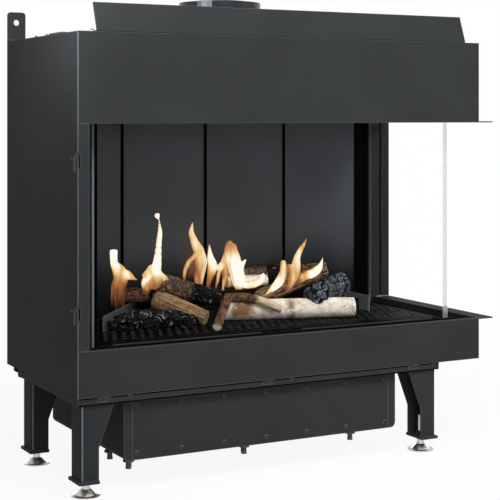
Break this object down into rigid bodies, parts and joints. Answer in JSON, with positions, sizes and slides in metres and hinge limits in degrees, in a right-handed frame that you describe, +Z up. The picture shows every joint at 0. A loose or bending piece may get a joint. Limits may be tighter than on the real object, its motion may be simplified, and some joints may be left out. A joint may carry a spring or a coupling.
{
  "type": "gas fireplace",
  "caption": "Built-in corner gas fireplace with a wide front pane, a narrow right pane, log burner, control box on legs and a balanced flue on top.",
  "frame": {"origin": "on the floor plane under the levelling feet, midway along and across the outline", "axes": "+X along the wide pane towards the narrow pane, +Y from the wide pane to the rear panel, +Z up"},
  "size_m": [1.112, 0.478, 1.0965],
  "materials": {
    "casing_paint": "satin anthracite powder coat",
    "chamber_paint": "matt black heat-proof paint",
    "flue_steel": "dark polished steel",
    "foot_chrome": "bright plated",
    "burner_steel": "heat-darkened",
    "ceramic_glass": "clear",
    "valve_alloy": "die cast",
    "gas_pipe": "bright",
    "black_plastic": "matt",
    "red_plastic": "glossy",
    "charred_ceramic": "matt, charred look",
    "birch_ceramic": "matt, birch bark look",
    "bark_ceramic": "matt, brown bark look"
  },
  "bodies": {
    "fireplace": {"left_side_panel": "casing_paint", "rear_panel": "casing_paint", "top_plate": "casing_paint", "floor_plate": "casing_paint", "upper_casing_panel": "casing_paint", "lower_casing_panel": "casing_paint", "rear_corner_post": "casing_paint", "top_deflector": "casing_paint", "wall_bracket_left": "casing_paint", "wall_bracket_right": "casing_paint", "flue_outer_spigot": "flue_steel", "flue_inner_pipe": "flue_steel", "underframe": "casing_paint", "leg_front_left": "casing_paint", "leg_front_right": "casing_paint", "leg_rear_left": "casing_paint", "leg_rear_right": "casing_paint", "control_box_tray": "casing_paint", "control_box_cover": "casing_paint", "gas_valve": "valve_alloy", "gas_inlet_pipe": "gas_pipe", "burner_supply_pipe": "gas_pipe", "pilot_burner": "burner_steel", "receiver_box": "black_plastic", "hearth_tray": "chamber_paint", "burner_pan": "burner_steel", "burner_plate": "burner_steel", "chamber_roof": "chamber_paint", "left_glass_post": "chamber_paint", "rear_glass_post": "chamber_paint", "front_glass": "ceramic_glass", "side_glass": "ceramic_glass", "corner_clip": "foot_chrome", "left_liner": "chamber_paint", "back_liner_1": "chamber_paint", "back_liner_2": "chamber_paint", "back_liner_3": "chamber_paint", "back_liner_4": "chamber_paint", "log_guard_left": "chamber_paint", "log_guard_right": "chamber_paint", "log_shelf": "chamber_paint", "log_charred_front": "charred_ceramic", "log_birch_front": "birch_ceramic", "log_dark_left": "charred_ceramic", "log_split": "bark_ceramic", "log_rear_left": "bark_ceramic", "twig_forked": "birch_ceramic", "log_charred_right": "charred_ceramic", "log_brown_right": "bark_ceramic", "log_birch_rear": "birch_ceramic", "log_rear_mid": "bark_ceramic", "stick_rear": "bark_ceramic"},
    "foot_front_left": {"levelling_foot_front_left": "foot_chrome"},
    "foot_front_right": {"levelling_foot_front_right": "foot_chrome"},
    "foot_rear_left": {"levelling_foot_rear_left": "foot_chrome"},
    "foot_rear_right": {"levelling_foot_rear_right": "foot_chrome"},
    "flame_knob": {"flame_knob": "black_plastic"},
    "manual_knob": {"manual_knob": "black_plastic"},
    "igniter_button": {"igniter_button": "red_plastic"},
    "air_shutter": {"air_shutter": "burner_steel"}
  },
  "joints": [
    {"name": "foot_front_left_height", "type": "slide", "parent": "fireplace", "child": "foot_front_left", "axis": [0, 0, -1], "range_m": [0, 0.03]},
    {"name": "foot_front_right_height", "type": "slide", "parent": "fireplace", "child": "foot_front_right", "axis": [0, 0, -1], "range_m": [0, 0.03]},
    {"name": "foot_rear_left_height", "type": "slide", "parent": "fireplace", "child": "foot_rear_left", "axis": [0, 0, -1], "range_m": [0, 0.03]},
    {"name": "foot_rear_right_height", "type": "slide", "parent": "fireplace", "child": "foot_rear_right", "axis": [0, 0, -1], "range_m": [0, 0.03]},
    {"name": "flame_knob_turn", "type": "hinge", "parent": "fireplace", "child": "flame_knob", "pos_m": [-0.106, -0.141, 0.1003], "axis": [0, 1, 0], "range_deg": [0, 140]},
    {"name": "manual_knob_turn", "type": "hinge", "parent": "fireplace", "child": "manual_knob", "pos_m": [-0.072, -0.141, 0.1003], "axis": [0, 1, 0], "range_deg": [0, 90]},
    {"name": "igniter_button_press", "type": "slide", "parent": "fireplace", "child": "igniter_button", "axis": [0, 1, 0], "range_m": [0, 0.003], "stiffness_N_per_m": 600, "springref_m": -0.002},
    {"name": "air_shutter_turn", "type": "hinge", "parent": "fireplace", "child": "air_shutter", "pos_m": [-0.044, -0.099, 0.248], "axis": [0, 0, 1], "range_deg": [0, 90]}
  ]
}
